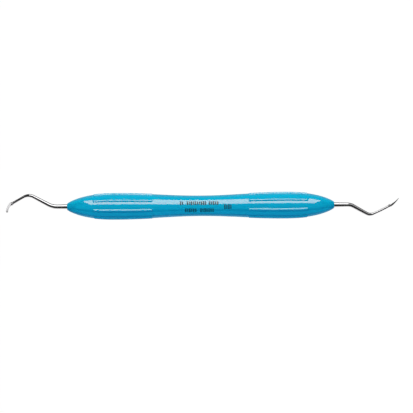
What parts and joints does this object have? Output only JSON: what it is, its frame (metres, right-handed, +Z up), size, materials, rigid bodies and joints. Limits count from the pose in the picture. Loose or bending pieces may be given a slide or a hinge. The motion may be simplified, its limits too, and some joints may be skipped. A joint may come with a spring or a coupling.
{
  "type": "double-ended dental scaler",
  "caption": "Double-ended dental hand scaler: ribbed silicone grip with a slim waist, contra-angled polished steel shanks and a small sickle blade at each end.",
  "frame": {"origin": "on the surface that the instrument rests on, under the middle of its bounding box", "axes": "+X along the handle from the hooked blade to the slender one, +Z up, both shanks bent in the horizontal plane, the left one towards +Y and the right one towards -Y"},
  "size_m": [0.1708, 0.0114, 0.0114],
  "materials": {
    "grip_silicone": "moulded silicone rubber, satin gloss, turquoise blue",
    "grip_marking": "laser-darkened silicone strokes, matt",
    "instrument_steel": "hardened stainless steel, polished",
    "tube_steel": "drawn stainless steel, satin",
    "cone_polymer": "glass-filled polymer, as turned",
    "bond_resin": "cured epoxy resin, glossy"
  },
  "bodies": {
    "root": {"grip_sleeve": "grip_silicone", "core_tube": "tube_steel", "left_end_cone": "cone_polymer", "right_end_cone": "cone_polymer", "left_bond_ring": "bond_resin", "right_bond_ring": "bond_resin", "left_working_end": "instrument_steel", "right_working_end": "instrument_steel"}
  },
  "joints": []
}
